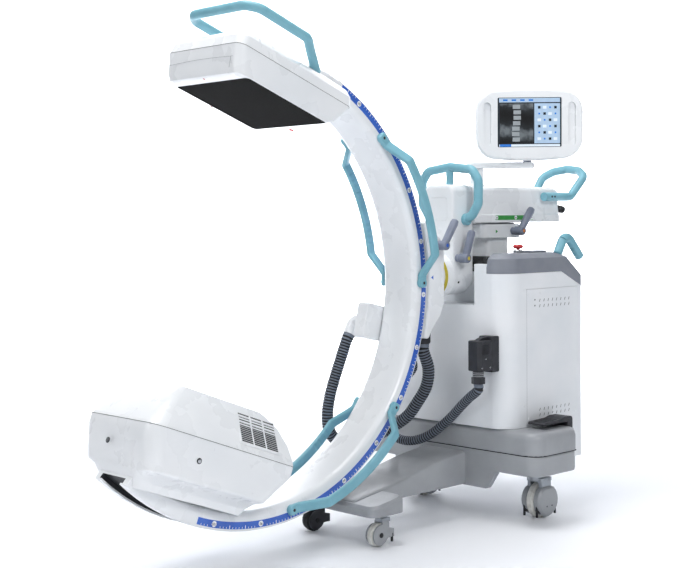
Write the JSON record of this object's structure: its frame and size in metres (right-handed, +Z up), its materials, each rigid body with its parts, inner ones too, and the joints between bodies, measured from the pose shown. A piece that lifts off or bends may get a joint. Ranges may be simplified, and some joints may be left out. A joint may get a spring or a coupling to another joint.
{
  "type": "mobile c-arm x-ray",
  "caption": "Wheeled cart with a lifting arm that carries a C-shaped beam gantry: detector above, tube below, clamp levers, push handles and a small swivelling monitor.",
  "frame": {"origin": "on the floor under the middle of the whole footprint", "axes": "+Z up, -X towards the open side of the C, -Y the side with the stop button and levers"},
  "size_m": [2.1202, 0.82, 1.6699],
  "materials": {
    "base_casting": "satin",
    "base_shell": "satin",
    "shell": "satin",
    "cover_grey": "satin",
    "black_plastic": "satin",
    "keypad": "matte",
    "teal_plastic": "satin",
    "collar_steel": "satin",
    "graphite_plastic": "satin",
    "hose_rubber": "matte",
    "red_plastic": "gloss",
    "fork_metal": "satin",
    "dark_fork_metal": "satin",
    "white_tyre": "matte",
    "dark_tyre": "matte",
    "white_aluminium": "satin",
    "white_metal": "satin",
    "lever_grey": "satin",
    "screen_glass": "gloss"
  },
  "bodies": {
    "cart": {"base_chassis": "base_casting", "base_cover": "base_shell", "cart_body": "shell", "side_panel_left": "shell", "side_panel_right": "shell", "top_cover": "cover_grey", "column_tray": "black_plastic", "control_panel": "keypad", "cart_handle_left": "teal_plastic", "cart_handle_right": "teal_plastic", "e_stop_collar": "collar_steel", "connector_flange": "graphite_plastic", "connector_hood": "graphite_plastic", "cart_hose": "hose_rubber"},
    "e_stop": {"e_stop_button": "red_plastic"},
    "pedal_left": {"brake_pedal_left": "graphite_plastic"},
    "pedal_right": {"brake_pedal_right": "graphite_plastic"},
    "rear_caster_left": {"rear_fork_left": "fork_metal"},
    "rear_caster_right": {"rear_fork_right": "fork_metal"},
    "rear_roller_left": {"rear_wheel_left": "white_tyre"},
    "rear_roller_right": {"rear_wheel_right": "white_tyre"},
    "front_caster_left": {"front_fork_left": "fork_metal"},
    "front_caster_right": {"front_fork_right": "dark_fork_metal"},
    "front_roller_left": {"front_wheel_left": "white_tyre"},
    "front_roller_right": {"front_wheel_right": "dark_tyre"},
    "lift": {"lift_column": "white_aluminium"},
    "swivel": {"swivel_collar": "white_metal"},
    "arm": {"arm_housing": "shell", "arm_head": "shell", "head_access_cover": "shell", "front_loop_handle": "teal_plastic", "rear_loop_handle": "teal_plastic", "monitor_post": "shell"},
    "carriage_clamp": {"carriage_lever": "lever_grey"},
    "angulation_clamp": {"angulation_lever": "lever_grey"},
    "swivel_clamp": {"swivel_lever": "lever_grey"},
    "arm_clamp": {"arm_lever": "lever_grey"},
    "monitor_swing": {"monitor_arm": "shell"},
    "monitor_turn": {"monitor_knuckle": "lever_grey"},
    "monitor": {"monitor_housing": "shell", "monitor_screen": "screen_glass"},
    "carriage_unit": {"rotation_disc": "white_metal", "carriage": "shell", "track_shoe": "black_plastic", "carriage_gland_left": "graphite_plastic", "carriage_gland_right": "graphite_plastic", "loop_hose": "hose_rubber"},
    "c_arm": {"c_ring": "shell", "upper_grip_left": "teal_plastic", "upper_grip_right": "teal_plastic", "lower_grip_left": "teal_plastic", "lower_grip_right": "teal_plastic", "cable_box": "shell", "detector_body": "shell", "detector_cover": "shell", "detector_face": "black_plastic", "detector_handle": "teal_plastic", "tube_body": "shell", "tube_cover": "shell"}
  },
  "joints": [
    {"name": "lift", "type": "slide", "parent": "cart", "child": "lift", "axis": [0, 0, 1], "range_m": [0, 0.42], "deforming": ["cart_hose"]},
    {"name": "wig_wag", "type": "hinge", "parent": "lift", "child": "swivel", "pos_m": [0.576, 0, 0.9663], "axis": [0, 0, 1], "range_deg": [-12.5, 12.5]},
    {"name": "arm_reach", "type": "slide", "parent": "swivel", "child": "arm", "axis": [-1, 0, 0], "range_m": [0, 0.2]},
    {"name": "angulation", "type": "hinge", "parent": "arm", "child": "carriage_unit", "pos_m": [0.2977, 0, 0.84], "axis": [1, 0, 0], "range_deg": [-180, 180]},
    {"name": "orbital", "type": "hinge", "parent": "carriage_unit", "child": "c_arm", "pos_m": [-0.5596, 0, 0.832], "axis": [0, 1, 0], "range_deg": [-110, 19], "deforming": ["loop_hose"]},
    {"name": "carriage_lock", "type": "hinge", "parent": "carriage_unit", "child": "carriage_clamp", "pos_m": [0.1924, -0.085, 0.948], "axis": [0, -1, 0], "range_deg": [0, 35]},
    {"name": "angulation_lock", "type": "hinge", "parent": "arm", "child": "angulation_clamp", "pos_m": [0.3195, -0.069, 0.901], "axis": [0, 1, 0], "range_deg": [0, 45]},
    {"name": "swivel_lock", "type": "hinge", "parent": "swivel", "child": "swivel_clamp", "pos_m": [0.626, -0.065, 0.991], "axis": [0, 1, 0], "range_deg": [0, 45]},
    {"name": "arm_lock", "type": "hinge", "parent": "arm", "child": "arm_clamp", "pos_m": [0.895, 0.036, 1.083], "axis": [-1, 0, 0], "range_deg": [0, 60]},
    {"name": "monitor_swing", "type": "hinge", "parent": "arm", "child": "monitor_swing", "pos_m": [0.506, 0, 1.214], "axis": [0, 0, 1], "range_deg": [-60, 130]},
    {"name": "monitor_turn", "type": "hinge", "parent": "monitor_swing", "child": "monitor_turn", "pos_m": [0.6357, -0.1248, 1.236], "axis": [0, 0, 1], "range_deg": [-90, 90]},
    {"name": "monitor_tilt", "type": "hinge", "parent": "monitor_turn", "child": "monitor", "pos_m": [0.6357, -0.1248, 1.365], "axis": [-0.7206, 0.6934, 0], "range_deg": [0, 30]},
    {"name": "stop_press", "type": "slide", "parent": "cart", "child": "e_stop", "axis": [0, 0, -1], "range_m": [0, 0.004], "stiffness_N_per_m": 1500, "springref_m": -0.001},
    {"name": "brake_left", "type": "hinge", "parent": "cart", "child": "pedal_left", "pos_m": [0.5585, -0.334, 0.307], "axis": [0, -1, 0], "range_deg": [0, 4], "stiffness_Nm_per_rad": 8, "springref_deg": -3.44},
    {"name": "rear_swivel_left", "type": "hinge", "parent": "cart", "child": "rear_caster_left", "pos_m": [0.49, -0.27, 0.18], "axis": [0, 0, 1], "continuous": true},
    {"name": "rear_spin_left", "type": "hinge", "parent": "rear_caster_left", "child": "rear_roller_left", "pos_m": [0.516, -0.27, 0.0625], "axis": [0, 1, 0], "continuous": true},
    {"name": "front_swivel_left", "type": "hinge", "parent": "cart", "child": "front_caster_left", "pos_m": [-0.138, -0.15, 0.105], "axis": [0, 0, 1], "continuous": true},
    {"name": "front_spin_left", "type": "hinge", "parent": "front_caster_left", "child": "front_roller_left", "pos_m": [-0.164, -0.15, 0.0375], "axis": [0, 1, 0], "continuous": true},
    {"name": "brake_right", "type": "hinge", "parent": "cart", "child": "pedal_right", "pos_m": [0.5585, 0.334, 0.307], "axis": [0, -1, 0], "range_deg": [0, 4], "stiffness_Nm_per_rad": 8, "springref_deg": -3.44},
    {"name": "rear_swivel_right", "type": "hinge", "parent": "cart", "child": "rear_caster_right", "pos_m": [0.49, 0.27, 0.18], "axis": [0, 0, 1], "continuous": true},
    {"name": "rear_spin_right", "type": "hinge", "parent": "rear_caster_right", "child": "rear_roller_right", "pos_m": [0.516, 0.27, 0.0625], "axis": [0, 1, 0], "continuous": true},
    {"name": "front_swivel_right", "type": "hinge", "parent": "cart", "child": "front_caster_right", "pos_m": [-0.138, 0.15, 0.105], "axis": [0, 0, 1], "continuous": true},
    {"name": "front_spin_right", "type": "hinge", "parent": "front_caster_right", "child": "front_roller_right", "pos_m": [-0.164, 0.15, 0.0375], "axis": [0, 1, 0], "continuous": true}
  ]
}
